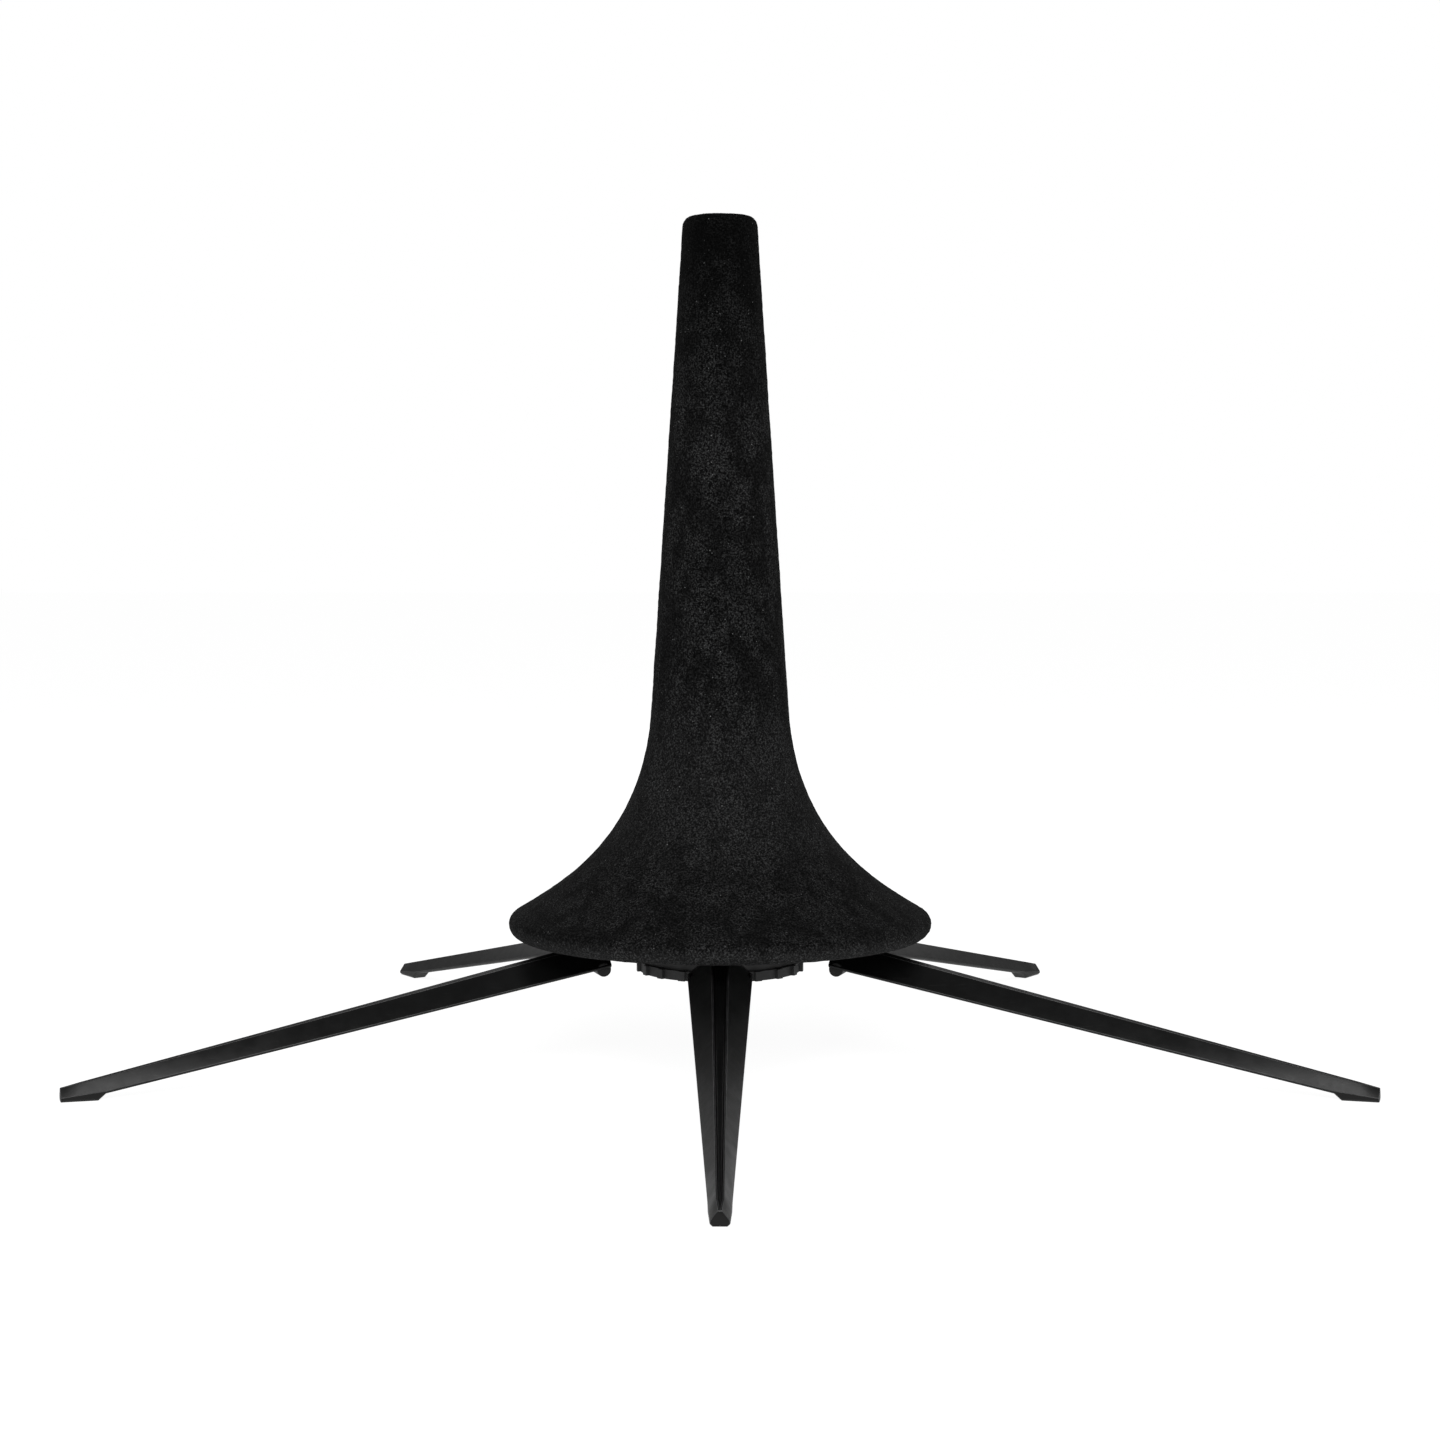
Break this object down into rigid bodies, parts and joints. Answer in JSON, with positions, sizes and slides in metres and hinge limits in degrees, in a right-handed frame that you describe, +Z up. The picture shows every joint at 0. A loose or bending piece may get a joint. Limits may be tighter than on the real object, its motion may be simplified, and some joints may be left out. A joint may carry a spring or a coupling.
{
  "type": "woodwind bell stand",
  "caption": "Table stand with a tall tapered velour peg flaring to a rounded skirt, on slim folding legs around a toothed hub.",
  "frame": {"origin": "on the floor, under the axis of the peg and hub", "axes": "+Z up along the peg's axis; leg 1 points towards -Y, and the other legs follow every 72 degrees, counter-clockwise seen from above"},
  "size_m": [0.191, 0.1816, 0.13],
  "materials": {
    "velour": "short dense pile, matt, with fine lighter flecks",
    "leg_plastic": "satin moulded, fine grain",
    "hub_plastic": "fine spark-eroded grain",
    "shell_plastic": "as moulded",
    "rubber": "matt",
    "steel": "zinc plated",
    "pin_steel": "ground, bare"
  },
  "bodies": {
    "hub": {"hub_base": "hub_plastic", "hub_cap": "hub_plastic", "hub_screw": "steel", "hub_washer": "steel", "hub_nut": "steel", "hinge_pin_1": "pin_steel", "hinge_pin_2": "pin_steel", "hinge_pin_3": "pin_steel", "hinge_pin_4": "pin_steel", "hinge_pin_5": "pin_steel"},
    "leg_1": {"leg_1": "leg_plastic"},
    "leg_2": {"leg_2": "leg_plastic"},
    "leg_3": {"leg_3": "leg_plastic"},
    "leg_4": {"leg_4": "leg_plastic"},
    "leg_5": {"leg_5": "leg_plastic"},
    "peg": {"peg_shell": "shell_plastic", "peg_collar": "shell_plastic", "collar_screws": "steel", "grip_ring": "rubber", "velour_cover": "velour"}
  },
  "joints": [
    {"name": "peg_lift", "type": "slide", "parent": "hub", "child": "peg", "axis": [0, 0, 1], "range_m": [0, 0.125]},
    {"name": "leg_1_fold", "type": "hinge", "parent": "hub", "child": "leg_1", "pos_m": [0, -0.0085, 0.019], "axis": [-1, 0, 0], "range_deg": [0, 105]},
    {"name": "leg_2_fold", "type": "hinge", "parent": "hub", "child": "leg_2", "pos_m": [0.00808, -0.00263, 0.019], "axis": [-0.309, -0.9511, 0], "range_deg": [0, 105]},
    {"name": "leg_3_fold", "type": "hinge", "parent": "hub", "child": "leg_3", "pos_m": [0.005, 0.00688, 0.019], "axis": [0.809, -0.5878, 0], "range_deg": [0, 105]},
    {"name": "leg_4_fold", "type": "hinge", "parent": "hub", "child": "leg_4", "pos_m": [-0.005, 0.00688, 0.019], "axis": [0.809, 0.5878, 0], "range_deg": [0, 105]},
    {"name": "leg_5_fold", "type": "hinge", "parent": "hub", "child": "leg_5", "pos_m": [-0.00808, -0.00263, 0.019], "axis": [-0.309, 0.9511, 0], "range_deg": [0, 105]}
  ],
  "couplings": [
    {"joint": "leg_1_fold", "follows": "peg_lift", "rad_per_m": 14.659},
    {"joint": "leg_2_fold", "follows": "peg_lift", "rad_per_m": 14.659},
    {"joint": "leg_3_fold", "follows": "peg_lift", "rad_per_m": 14.659},
    {"joint": "leg_4_fold", "follows": "peg_lift", "rad_per_m": 14.659},
    {"joint": "leg_5_fold", "follows": "peg_lift", "rad_per_m": 14.659}
  ]
}
